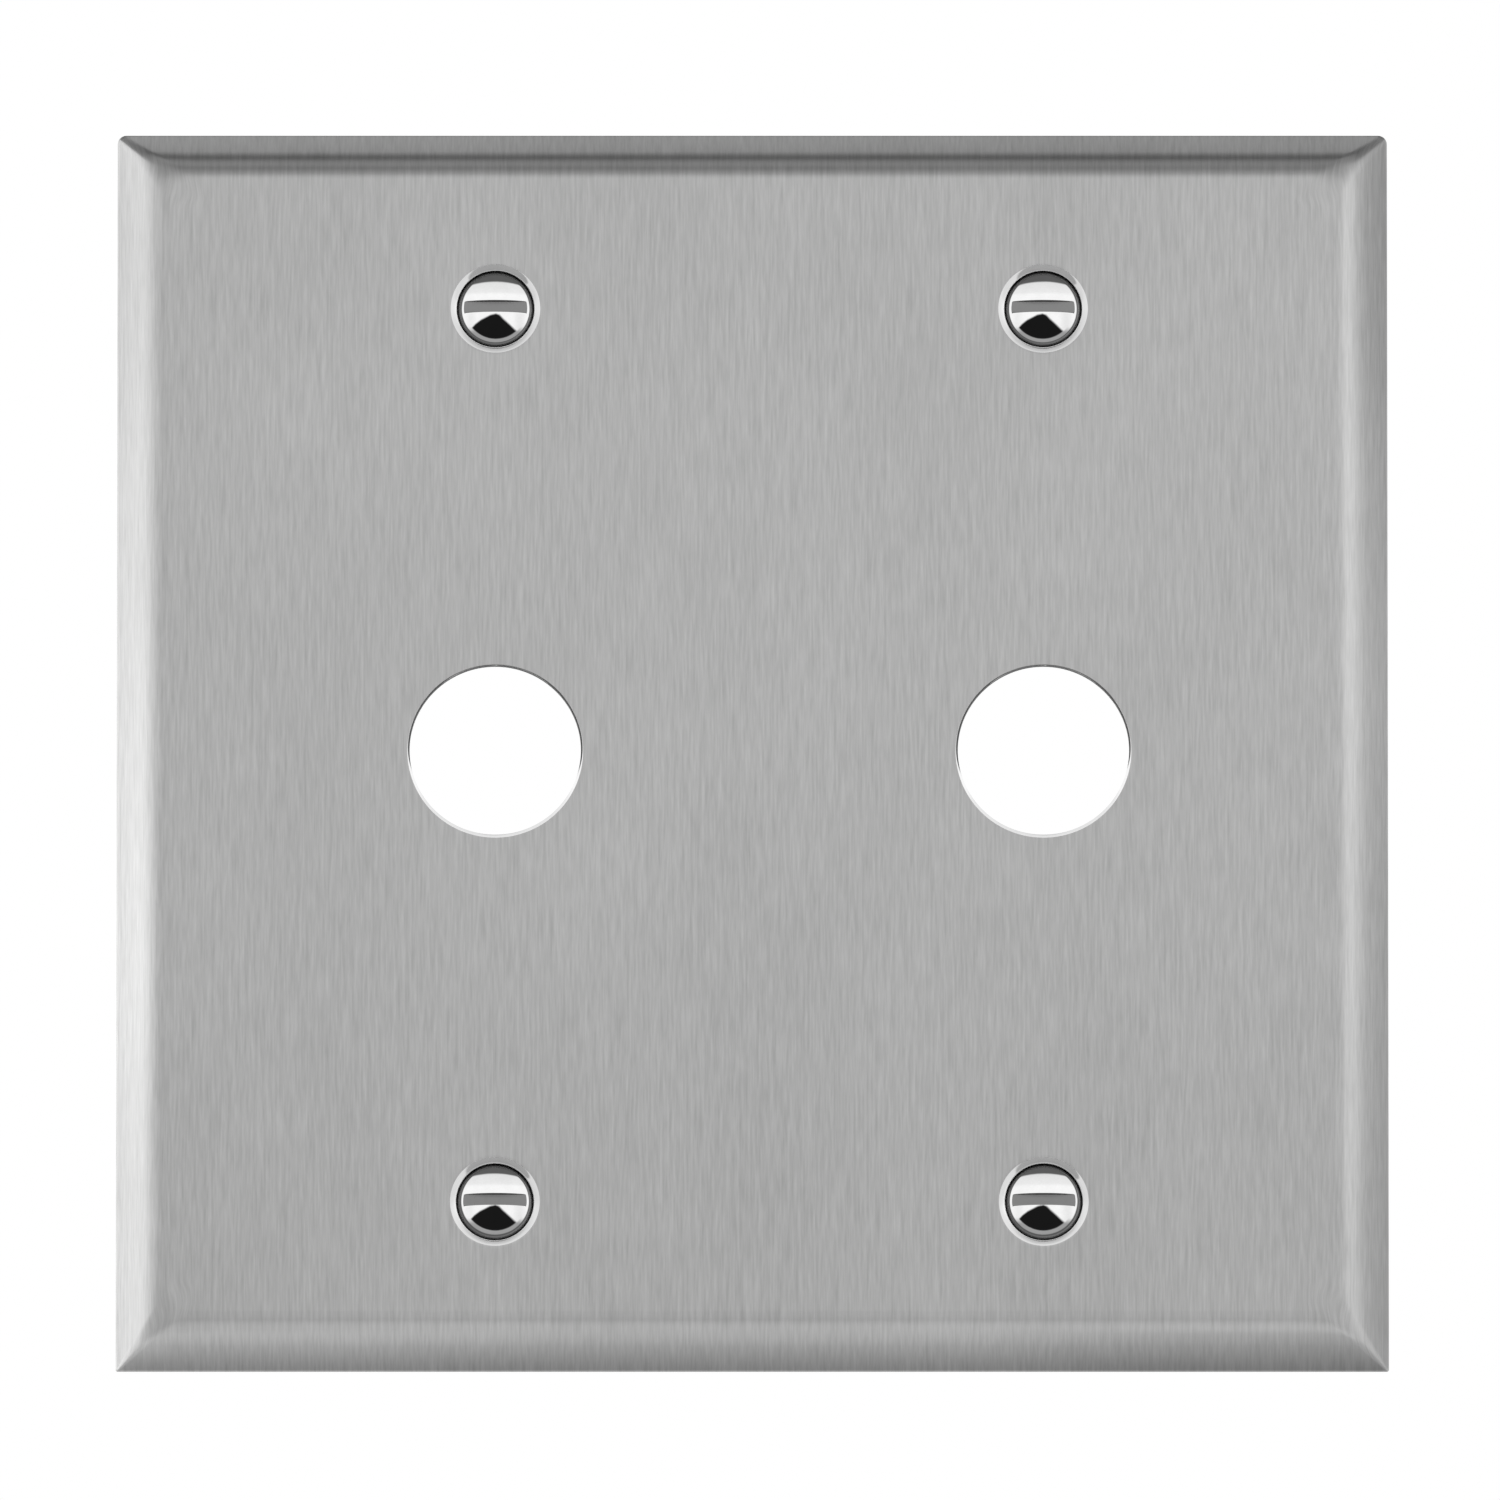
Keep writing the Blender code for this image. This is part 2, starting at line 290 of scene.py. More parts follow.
def seat_profile():
    """(radius, depth, finish) from the face down the formed seat and up its hidden side."""
    wall = math.pi / 2 - COUNTERSINK
    rim, dish, dish_end = HEAD_R + 0.085 * MM, 1.36 * MM, math.radians(32)
    lip = rim + 0.015 * MM + dish * math.sin(dish_end)
    points = [(lip + 0.30 * MM, 0.0, 0), (lip + 0.08 * MM, 0.0, 0)]
    for k in range(13):
        a = dish_end * k / 12
        points.append((lip - dish * math.sin(a), dish * (1 - math.cos(a)), 0 if math.degrees(a) < 8 else 1))
    edge_d = points[-1][1]
    points += [(rim + 0.003 * MM, edge_d + 0.012 * MM, 4), (rim - 0.005 * MM, edge_d + 0.035 * MM, 4),
               (rim - 0.008 * MM, HEAD_SUNK + HEAD_RIM - 0.03 * MM, 4)]
    bottom = HEAD_SUNK + HEAD_RIM + (seat_radius(HEAD_SUNK + HEAD_RIM) - SEAT_BORE_R) / CONE_SLOPE
    start_r, start_d = points[-1][0], points[-1][1]
    cut = 0.05 * MM
    for t in (0.3, 0.6, 0.9, 1.0):
        r = start_r + (SEAT_BORE_R - start_r) * t
        d = start_d + (bottom - start_d) * t
        points.append((r + (cut if t == 1.0 else 0), d - (cut / CONE_SLOPE if t == 1.0 else 0), 4))
    back_r = SEAT_BORE_R + SHEET * math.cos(COUNTERSINK)
    back_d = bottom + SHEET * math.sin(COUNTERSINK)
    points.append((SEAT_BORE_R + cut, bottom + cut * 0.6, 4))
    points.append((back_r - cut, back_d - cut * 0.6, 4))
    points.append((back_r + cut, back_d - cut / CONE_SLOPE, 3))
    # a small inside radius where the hidden cone leaves the sheet's back
    foot_r = back_r + (back_d - SHEET) * CONE_SLOPE
    fillet = 0.35 * MM
    tangent = fillet * math.tan(wall / 2)
    for k in range(7):
        a = wall * (1 - k / 6)
        points.append((foot_r + tangent - fillet * math.sin(a), SHEET + fillet * (1 - math.cos(a)), 3))
    points.append((foot_r + tangent + 0.3 * MM, SHEET, 3))
    return points


def hole_rings(x, z, count):
    """Rings of a punched hole, front to back, with a die roll wider at the bottom."""
    mouth, bore, low, shift = 8.00 * MM, 7.80 * MM, 0.02 * MM, 0.12 * MM
    drop = 0.13 * MM
    rows = [(mouth + 0.36 * MM, low, 0.0, 0), (mouth + 0.05 * MM, low, 0.0, 0)]
    steps = 10
    for k in range(steps + 1):
        t = k / steps
        rows.append((mouth + (bore - mouth) * t, low + (shift - low) * t, drop * t**1.08, 2))
    e = HOLE_BACK_BREAK
    rows += [(bore, shift, drop + 0.03 * MM, 4), (bore, shift, (drop + SHEET) / 2, 4), (bore, shift, SHEET - e, 4),
             (bore + e * 0.3, shift, SHEET - e * 0.3, 4), (bore + e, shift, SHEET, 4), (bore + e + 0.3 * MM, shift, SHEET, 3)]
    return [(circle(x, z + up, r, -FACE + d, count), finish) for r, up, d, finish in rows]


def face_points(sites, clear_w, clear_h, step):
    """A staggered grid of inner points that keeps clear of the holes and the border."""
    points = []
    rows = int(2 * clear_h / (step * 0.866))
    for j in range(rows + 1):
        z = -clear_h + 2 * clear_h * j / rows
        shift = step / 2 if j % 2 else 0.0
        cols = int(2 * clear_w / step)
        for i in range(cols + 1):
            x = -clear_w + shift + 2 * clear_w * i / cols
            if abs(x) <= clear_w and all(math.hypot(x - cx, z - cz) > r + step * 0.55 for cx, cz, r in sites):
                points.append((x, z))
    return points


def build_plate(materials):
    shell = Shell()
    outer_rings, inner_rings = [], []
    full = BEVEL_W
    for u, d, arc in bevel_profile(False):
        radii = [r + (FACE_CORNER_R - r) * min(u / full, 1.0) for r in RIM_CORNER_R]
        outer_rings.append(shell.ring(*outline(u, radii, -d, arc)))
    for u, d, arc in bevel_profile(True):
        inner_rings.append(shell.ring(*outline(u, [INSIDE_CORNER_R] * 4, -d, arc)))
    # a narrow flat border keeps the big face flat right up to the bend
    for rings, radii, y in ((outer_rings, [FACE_CORNER_R] * 4, -FACE), (inner_rings, [INSIDE_CORNER_R] * 4, -FACE + SHEET)):
        for more in (0.10 * MM, 0.60 * MM):
            rings.append(shell.ring(*outline(full + more, radii, y, -more)))
    shell.strip(outer_rings, 0)
    shell.strip(inner_rings, 3)
    shell.bridge(outer_rings[0], inner_rings[0], 4)
    front, back, clear = [], [], []
    sites = [(x, z, hole_rings(x, z, 160)) for x, z in HOLE_AT]
    sites += [(*SCREW_AT[t], [(circle(*SCREW_AT[t], r, -FACE + d, 240), f) for r, d, f in seat_profile()]) for t in SITES]
    for x, z, made in sites:
        rings = [shell.ring(points) for points, _ in made]
        for (a, b), (_, finish) in zip(zip(rings, rings[1:]), made):
            shell.bridge(a, b, finish)
        reach = [max(math.hypot(p[0] - x, p[2] - z) for p in points) for points, _ in (made[0], made[-1])]
        middle = [(x, (max(p[2] for p in points) + min(p[2] for p in points)) / 2) for points, _ in (made[0], made[-1])]
        radius = [(max(p[0] for p in points) - min(p[0] for p in points)) / 2 for points, _ in (made[0], made[-1])]
        front.append((rings[0], middle[0], radius[0]))
        back.append((rings[-1], middle[1], radius[1]))
        clear.append((x, z, max(reach)))
    step = 3.2 * MM
    inner_w, inner_h = PLATE_W / 2 - full - 0.6 * MM - step * 0.6, PLATE_H / 2 - full - 0.6 * MM - step * 0.6
    grid = face_points(clear, inner_w, inner_h, step)
    shell.fill(outer_rings[-1], front, grid, 0)
    shell.fill(inner_rings[-1], back, grid, 3)
    return shell.build("plate_sheet", materials, 40.0)


# --------------------------------------------------------------------------
# screws and washers
# --------------------------------------------------------------------------
def build_screw(name, cx, cz, materials, head_steps=192, thread_steps=36):
    """A #6-32 oval head screw; its slot is cut into the dome afterwards by a Boolean."""
    shell = Shell()
    dome_r = (HEAD_R**2 + DOME_H**2) / (2 * DOME_H)
    crown = HEAD_SUNK - DOME_H
    edge = 0.36 * MM                       # the dome turns down into the rim over this width
    cone_top = HEAD_SUNK + HEAD_RIM
    shank_top = cone_top + (HEAD_R - THREAD_R) / CONE_SLOPE
    profile = []
    spread = math.asin((HEAD_R - edge) / dome_r)
    rings_n = 26
    for k in range(1, rings_n + 1):
        a = spread * k / rings_n
        profile.append((dome_r * math.sin(a), crown + dome_r * (1 - math.cos(a)), 0))
    # rolled edge: a curve from the dome's tangent round to the rim's; it takes finish 3, the dark rim colour painted on
    # as shade
    (r0, d0), (r1, d1) = profile[-1][:2], (HEAD_R, cone_top - 0.02 * MM)
    turn_d = d0 + (r1 - r0) * math.tan(spread)
    for k in range(1, 11):
        t = k / 10
        profile.append((r0 * (1 - t) ** 2 + r1 * 2 * t * (1 - t) + r1 * t * t,
                        d0 * (1 - t) ** 2 + turn_d * 2 * t * (1 - t) + d1 * t * t, 3))
    rim_r = profile[-1][0]
    profile.append((rim_r - 0.03 * MM, cone_top + 0.03 * MM, 3))
    for t in (0.25, 0.5, 0.75):
        profile.append((rim_r + (THREAD_R - rim_r) * t, cone_top + (shank_top - cone_top) * t, 3))
    profile.append((THREAD_R + 0.02 * MM, shank_top - 0.03 * MM, 1))
    profile.append((THREAD_R - 0.06 * MM, shank_top + 0.05 * MM, 1))
    start_y = shank_top + 0.10 * MM
    tip = shell.ring([(0, crown, 0)])[0]
    rings = [shell.ring(circle(0, 0, r, d, head_steps)) for r, d, _ in profile]
    for k in range(head_steps):
        shell.face((tip, rings[0][k], rings[0][(k + 1) % head_steps]))
    for (a, b), (_, _, finish) in zip(zip(rings, rings[1:]), profile):
        shell.bridge(a, b, finish)

    # Right-hand 60 degree thread with a small crest flat and root flat.
    n, length = thread_steps, THREAD_TURNS * PITCH
    flat = PITCH / 8
    rise = (PITCH - 2 * flat) / 2
    # one thread form, as (share of a pitch, radius)
    form = [(0.0, THREAD_ROOT_R), (flat / PITCH, THREAD_ROOT_R),
            ((flat + rise) / PITCH, THREAD_R), ((flat + rise + flat) / PITCH, THREAD_R)]

    def radius_at(share):
        """Radius of the form at a share of the pitch past the root's start."""
        share %= 1.0
        x = share * PITCH
        if x < flat:
            return THREAD_ROOT_R
        if x < flat + rise:
            return THREAD_ROOT_R + (THREAD_R - THREAD_ROOT_R) * (x - flat) / rise
        if x < 2 * flat + rise:
            return THREAD_R
        return THREAD_R - (THREAD_R - THREAD_ROOT_R) * (x - 2 * flat - rise) / rise

    def point(k, share):
        s = k / n + share
        y = s * PITCH
        r = radius_at(share)
        if y < 0:
            r = radius_at(-k / n)            # where the start plane cuts the form
            y = 0.0
        if y > length:
            r = radius_at(length / PITCH - k / n)
            y = length
        # the first and last turns fade, the tip is broken by a chamfer
        r = min(r, THREAD_R - TIP_BREAK + (length - y) * 0.9)
        r = min(r, THREAD_ROOT_R + (THREAD_R - THREAD_ROOT_R) * (0.35 + y / PITCH))
        r = max(r, THREAD_ROOT_R)
        if length - y < 0.12 * MM:
            r = min(r, THREAD_ROOT_R - 0.02 * MM + (length - y) * 0.9)
        a = 2 * math.pi * k / n
        return (r * math.sin(a), start_y + y, r * math.cos(a))

    first, last = -n, THREAD_TURNS * n
    lines = [shell.ring([point(k, share) for k in range(first, last + 1)]) for share, _ in form]
    lines.append(shell.ring([point(k, 1.0) for k in range(first, last + 1)]))
    for k in range(last - first):
        for a, b in zip(lines, lines[1:]):
            shell.face((a[k], a[k + 1], b[k + 1], b[k]), 1)
    # under-head ring narrowed to the thread's start, and the flat end at the tip
    under = rings[-1]
    start = lines[0][:n + 1]
    g = math.gcd(head_steps, n)
    # walk both rings together by angle
    i = j = 0
    while i < head_steps or j < n:
        if j >= n or (i < head_steps and (i + 1) / head_steps <= (j + 1) / n):
            shell.face((under[i % head_steps], under[(i + 1) % head_steps], start[j]), 1)
            i += 1
        else:
            shell.face((under[i % head_steps], start[j + 1], start[j]), 1)
            j += 1
    end = lines[-1][-n - 1:]
    centre = shell.ring([(0, start_y + length, 0)])[0]
    for k in range(n):
        shell.face((end[k], end[k + 1], centre), 1)
    obj = shell.build(name, materials, 38.0)

    # the driver slot: an exact cut whose floor is slightly eased into its walls
    cutter = bmesh.new()
    bmesh.ops.create_cube(cutter, size=1.0)
    bmesh.ops.scale(cutter, vec=(HEAD_R * 3, SLOT_D * 2, SLOT_W), verts=cutter.verts)
    bmesh.ops.translate(cutter, vec=(0, crown, SLOT_UP), verts=cutter.verts)
    floor_edges = [e for e in cutter.edges
                   if all(v.co.y > crown for v in e.verts) and abs(e.verts[0].co.z - e.verts[1].co.z) < 1e-9]
    bmesh.ops.bevel(cutter, geom=floor_edges, offset=0.10 * MM, segments=3, affect="EDGES", profile=0.5)
    cut_mesh = bpy.data.meshes.new("slot_cut")
    cutter.to_mesh(cut_mesh)
    cutter.free()
    for m in materials:
        cut_mesh.materials.append(m)
    # the cut's faces take finish 2, the slot's dark colour painted on as shade in the recess
    for p in cut_mesh.polygons:
        p.material_index = 2
    cut = bpy.data.objects.new("slot_cut", cut_mesh)
    bpy.context.scene.collection.objects.link(cut)
    mod = obj.modifiers.new("slot", "BOOLEAN")
    mod.operation, mod.solver, mod.object = "DIFFERENCE", "EXACT", cut
    bpy.context.view_layer.update()
    cut_away = bpy.data.meshes.new_from_object(obj.evaluated_get(bpy.context.evaluated_depsgraph_get()))
    obj.modifiers.clear()
    old = obj.data
    obj.data = cut_away
    bpy.data.meshes.remove(old)
    bpy.data.objects.remove(cut)
    # the slot's own rougher finish, with shade painted into its colour, and a clean mesh
    bm = bmesh.new()
    bm.from_mesh(obj.data)
    bmesh.ops.remove_doubles(bm, verts=bm.verts, dist=4e-7)
    for f in bm.faces:
        c = f.calc_center_median()
        if abs(c.z - SLOT_UP) < SLOT_W / 2 + 2e-7 and c.y < crown + SLOT_D + 2e-7:
            f.material_index = 2
    bmesh.ops.remove_doubles(bm, verts=bm.verts, dist=4e-7)
    bmesh.ops.dissolve_degenerate(bm, edges=bm.edges, dist=3e-7)
    bmesh.ops.recalc_face_normals(bm, faces=bm.faces)
    bmesh.ops.translate(bm, verts=bm.verts, vec=(cx, -FACE, cz))
    bm.to_mesh(obj.data)
    bm.free()
    obj.data.shade_smooth()
    obj.data.set_sharp_from_angle(angle=math.radians(25.0))
    obj.data.name = name
    return obj


def build_washer(name, node, materials, steps=96):
    lo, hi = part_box(node)
    c = (lo + hi) / 2
    outer, thick = (hi.x - lo.x) / 2, hi.y - lo.y
    bore, e = THREAD_R + 0.15 * MM, 0.16 * MM
    profile = []
    for (r, y), (a0, a1) in (
        ((outer - e, e), (90, 0)), ((outer - e, thick - e), (0, -90)),
    ):
        for k in range(6):
            a = math.radians(a0 + (a1 - a0) * k / 5)
            profile.append((r + e * math.cos(a), y - e * math.sin(a)))
    f = 0.08 * MM
    for (r, y), (a0, a1) in (((bore + f, thick - f), (270, 180)), ((bore + f, f), (180, 90))):
        for k in range(4):
            a = math.radians(a0 + (a1 - a0) * k / 3)
            profile.append((r + f * math.cos(a), y - f * math.sin(a)))
    shell = Shell()
    rings = [shell.ring(circle(c.x, c.z, r, lo.y + y, steps)) for r, y in profile]
    shell.strip(rings + rings[:1])
    return shell.build(name, materials, 45.0)


# --------------------------------------------------------------------------
# materials
# --------------------------------------------------------------------------
class Nodes:
    """A small helper for building node trees."""

    def __init__(self, name):
        self.material = bpy.data.materials.new(name)
        self.material.use_nodes = True
        self.tree = self.material.node_tree
        self.shader = self.tree.nodes["Principled BSDF"]

    def add(self, kind, **settings):
        node = self.tree.nodes.new(kind)
        for key, value in settings.items():
            setattr(node, key, value)
        return node

    def link(self, a, b):
        self.tree.links.new(a, b)

    def noise(self, vector, scale, detail=2.0, rough=0.5, dims="3D"):
        node = self.add("ShaderNodeTexNoise", noise_dimensions=dims)
        node.inputs["Scale"].default_value = scale
        node.inputs["Detail"].default_value = detail
        node.inputs["Roughness"].default_value = rough
        self.link(vector, node.inputs["Vector"])
        return node.outputs["Fac"]

    def mapped(self, vector, scale, offset=(0, 0, 0)):
        node = self.add("ShaderNodeMapping")
        node.inputs["Scale"].default_value = scale
        node.inputs["Location"].default_value = offset
        self.link(vector, node.inputs["Vector"])
        return node.outputs["Vector"]

    def span(self, value, lo, hi, new_lo, new_hi, clamp=True):
        node = self.add("ShaderNodeMapRange", clamp=clamp)
        for key, v in (("From Min", lo), ("From Max", hi), ("To Min", new_lo), ("To Max", new_hi)):
            node.inputs[key].default_value = v
        self.link(value, node.inputs["Value"])
        return node.outputs["Result"]

    def math(self, op, a, b):
        node = self.add("ShaderNodeMath", operation=op)
        for socket, v in zip(node.inputs, (a, b)):
            if isinstance(v, (int, float)):
                socket.default_value = v
            else:
                self.link(v, socket)
        return node.outputs[0]

    def grey(self, value, tint=(1.0, 1.0, 1.0)):
        """A near-neutral colour from a value."""
        mix = self.add("ShaderNodeMix", data_type="RGBA", blend_type="MULTIPLY")
        mix.inputs["Factor"].default_value = 1.0
        join = self.add("ShaderNodeCombineColor")
        for name in ("Red", "Green", "Blue"):
            self.link(value, join.inputs[name])
        self.link(join.outputs["Color"], mix.inputs[6])
        mix.inputs[7].default_value = (*tint, 1.0)
        return mix.outputs[2]


def brushed_steel(name, base, spread, rough, rough_spread, aniso, bump, seed=0.0):
    """Vertical brushing in the sheet's own flat pattern, so that it runs over the bends."""
    m = Nodes(name)
    uv = m.add("ShaderNodeUVMap", uv_map="flat_pattern").outputs["UV"]
    fine = m.noise(m.mapped(uv, (5000, 330, 1), (seed, seed, 0)), 1.0, 3.0, 0.55, "2D")
    streak = m.noise(m.mapped(uv, (2600, 120, 1), (3.1 + seed, 7.7, 0)), 1.0, 2.0, 0.5, "2D")
    cloud = m.noise(m.mapped(uv, (70, 34, 1), (9.4 + seed, 2.2, 0)), 1.0, 2.0, 0.5, "2D")
    grain = m.math("ADD", m.math("MULTIPLY", fine, 0.62), m.math("MULTIPLY", streak, 0.38))
    tone = m.math("ADD", m.math("MULTIPLY", grain, 0.86), m.math("MULTIPLY", cloud, 0.14))
    value = m.span(tone, 0.25, 0.75, base - spread, base + spread, False)
    m.link(m.grey(value, (1.0, 1.0, 0.997)), m.shader.inputs["Base Color"])
    m.link(m.span(grain, 0.25, 0.75, rough - rough_spread, rough + rough_spread, False), m.shader.inputs["Roughness"])
    m.shader.inputs["Metallic"].default_value = 1.0
    m.shader.inputs["Anisotropic"].default_value = aniso
    tangent = m.add("ShaderNodeTangent", direction_type="UV_MAP", uv_map="flat_pattern")
    m.link(tangent.outputs["Tangent"], m.shader.inputs["Tangent"])
    if bump:
        node = m.add("ShaderNodeBump")
        node.inputs["Strength"].default_value = 1.0
        node.inputs["Distance"].default_value = bump
        m.link(grain, node.inputs["Height"])
        m.link(node.outputs["Normal"], m.shader.inputs["Normal"])
    return m.material


def polished(name, base, rough, scratch, bump, scale=1.0):
    """Plated or burnished metal with faint turning marks and handling scratches."""
    m = Nodes(name)
    at = m.add("ShaderNodeTexCoord").outputs["Object"]
    haze = m.noise(m.mapped(at, (900 * scale,) * 3), 1.0, 3.0, 0.6)
    marks = m.noise(m.mapped(at, (9000 * scale, 900 * scale, 1600 * scale), (1.7, 0.4, 2.6)), 1.0, 2.0, 0.5)
    value = m.span(haze, 0.3, 0.7, base * 0.96, base * 1.02, False)
    m.link(m.grey(value, (1.0, 1.0, 1.0)), m.shader.inputs["Base Color"])
    both = m.math("ADD", m.math("MULTIPLY", haze, 0.5), m.math("MULTIPLY", marks, 0.5))
    m.link(m.span(both, 0.3, 0.7, rough, rough + scratch, False), m.shader.inputs["Roughness"])
    m.shader.inputs["Metallic"].default_value = 1.0
    if bump:
        node = m.add("ShaderNodeBump")
        node.inputs["Strength"].default_value = 1.0
        node.inputs["Distance"].default_value = bump
        m.link(haze, node.inputs["Height"])
        m.link(node.outputs["Normal"], m.shader.inputs["Normal"])
    return m.material


def mirror_chrome(name, base):
    """Bright chrome plate: a sharp mirror with a faint haze and the slightest unevenness."""
    m = Nodes(name)
    at = m.add("ShaderNodeTexCoord").outputs["Object"]
    haze = m.noise(m.mapped(at, (1100,) * 3), 1.0, 3.0, 0.6)
    wear = m.noise(m.mapped(at, (5200, 5200, 9000), (1.7, 0.4, 2.6)), 1.0, 3.0, 0.55)
    both = m.math("ADD", m.math("MULTIPLY", haze, 0.6), m.math("MULTIPLY", wear, 0.4))
    m.link(m.grey(m.span(both, 0.3, 0.7, base * 0.95, base * 1.03, False), (1.0, 1.0, 1.0)), m.shader.inputs["Base Color"])
    m.shader.inputs["Metallic"].default_value = 1.0
    m.shader.inputs["Roughness"].default_value = 0.0
    node = m.add("ShaderNodeBump")
    node.inputs["Strength"].default_value = 1.0
    node.inputs["Distance"].default_value = 0.0000012
    m.link(haze, node.inputs["Height"])
    m.link(node.outputs["Normal"], m.shader.inputs["Normal"])
    return m.material


def nylon_finish(name):
    m = Nodes(name)
    at = m.add("ShaderNodeTexCoord").outputs["Object"]
    mottle = m.noise(m.mapped(at, (700, 700, 700)), 1.0, 4.0, 0.6)
    fine = m.noise(m.mapped(at, (5200, 5200, 5200), (2, 5, 1)), 1.0, 2.0, 0.5)
    value = m.span(mottle, 0.3, 0.7, 0.72, 0.82, False)
    m.link(m.grey(value, (1.0, 0.985, 0.92)), m.shader.inputs["Base Color"])
    m.link(m.span(mottle, 0.3, 0.7, 0.38, 0.52, False), m.shader.inputs["Roughness"])
    m.shader.inputs["Subsurface Weight"].default_value = 0.15
    m.shader.inputs["Subsurface Radius"].default_value = (0.0006, 0.0005, 0.0004)
    m.shader.inputs["Subsurface Scale"].default_value = 1.0
    node = m.add("ShaderNodeBump")
    node.inputs["Distance"].default_value = 0.000006
    m.link(fine, node.inputs["Height"])
    m.link(node.outputs["Normal"], m.shader.inputs["Normal"])
    return m.material


FACE_STEEL = brushed_steel("brushed_stainless", 0.47, 0.085, 0.34, 0.035, 0.72, 0.0000035)
SEAT_STEEL = polished("coined_seat", 0.68, 0.14, 0.05, 0.0)
burnish = SEAT_STEEL.node_tree.nodes["Principled BSDF"].inputs
burnish["Coat Weight"].default_value = 1.0
burnish["Coat Roughness"].default_value = 0.0
burnish["Coat IOR"].default_value = 3.8
EDGE_STEEL = mirror_chrome("burnished_die_roll", 0.92)
BACK_STEEL = brushed_steel("mill_back", 0.40, 0.04, 0.42, 0.03, 0.35, 0.000002, 4.0)
BORE_STEEL = polished("sheared_bore", 0.55, 0.20, 0.08, 0.000002)
CHROME = mirror_chrome("bright_chrome", 0.91)
THREAD = polished("plated_thread", 0.66, 0.22, 0.10, 0.000002)
# the head's rolled edge and the hidden cone under it get a dark base colour: painted shade, the dark ring round each
# chrome head
RIM_PAINTED_SHADE = polished("head_rim_painted_shade", 0.17, 0.24, 0.08, 0.0)
# the slot gets a much darker colour than the head's chrome: painted shade in the recess, on a rougher finish
SLOT_PAINTED_SHADE = polished("slot_painted_shade", 0.27, 0.26, 0.10, 0.000002)
NYLON = nylon_finish("natural_nylon")

# --------------------------------------------------------------------------
# the pieces
# --------------------------------------------------------------------------
plate = build_plate([FACE_STEEL, SEAT_STEEL, EDGE_STEEL, BACK_STEEL, BORE_STEEL])
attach(plate, "plate")
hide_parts("wall_plate")

for tag in SITES:
    x, z = SCREW_AT[tag]
    screw = build_screw(f"oval_head_screw_{tag}", x, z, [CHROME, THREAD, SLOT_PAINTED_SHADE, RIM_PAINTED_SHADE])
    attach(screw, f"screw_{tag}")
    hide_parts(f"screw_{tag}")
    washer = build_washer(f"retaining_washer_{tag}", f"washer_{tag}", [NYLON])
    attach(washer, f"washer_{tag}")
    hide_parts(f"washer_{tag}")


# --------------------------------------------------------------------------
# studio: a soft light tent, two small cards by the plate's edges, a pale floor
# --------------------------------------------------------------------------
def curve(x, knots):
    """Smoothly joined values at the knots, [(x, value), ...]."""
    if x <= knots[0][0]:
        return knots[0][1]
    for (x0, v0), (x1, v1) in zip(knots, knots[1:]):
        if x <= x1:
            t = (x - x0) / (x1 - x0)
            t = t * t * (3 - 2 * t)
            return v0 + (v1 - v0) * t
    return knots[-1][1]


def smooth(x, a, b):
    t = min(max((x - a) / (b - a), 0.0), 1.0)
    return t * t * (3 - 2 * t)


def soft_light(d):
    """What brushed and rough metal is lit by, in a direction from the object."""
    az = math.degrees(math.atan2(d.x, -d.y))
    el = math.degrees(math.asin(max(-1.0, min(1.0, d.z))))
    value = curve(az, AROUND) * curve(el, UP)
    # behind the plate the studio is light above its level and dark below
    behind = smooth(abs(az), 140, 158) * (1 - smooth(abs(el), 34, 46))
    return value * (1 - behind) + behind * (0.16 + 0.84 * smooth(el, 2, 10))


AROUND = [(-180, 0.95), (-150, 1.00), (-125, 1.60), (-106, 2.30), (-92, 1.95), (-80, 1.15), (-66, 0.96), (-45, 0.94), (-20, 0.98), (0, 1.0),
          (18, 1.0), (35, 1.06), (50, 1.20), (62, 1.48), (76, 1.68), (88, 1.25), (98, 0.92), (112, 0.76), (130, 0.70), (155, 0.85), (180, 0.95)]
UP = [(-90, 0.26), (-80, 0.30), (-74, 0.88), (-64, 0.93), (-54, 0.80), (-43, 0.71), (-25, 0.78), (-6, 0.79), (1, 0.76), (4.2, 0.79), (9.3, 1.0), (14, 1.0),
      (24, 0.84), (45, 0.52), (62, 0.38), (74, 0.30), (83, 0.42), (90, 0.42)]


EYE = Vector((0.0, -math.cos(math.radians(9.9)), -math.sin(math.radians(9.9))))
DOME_R = (HEAD_R**2 + DOME_H**2) / (2 * DOME_H) / MM


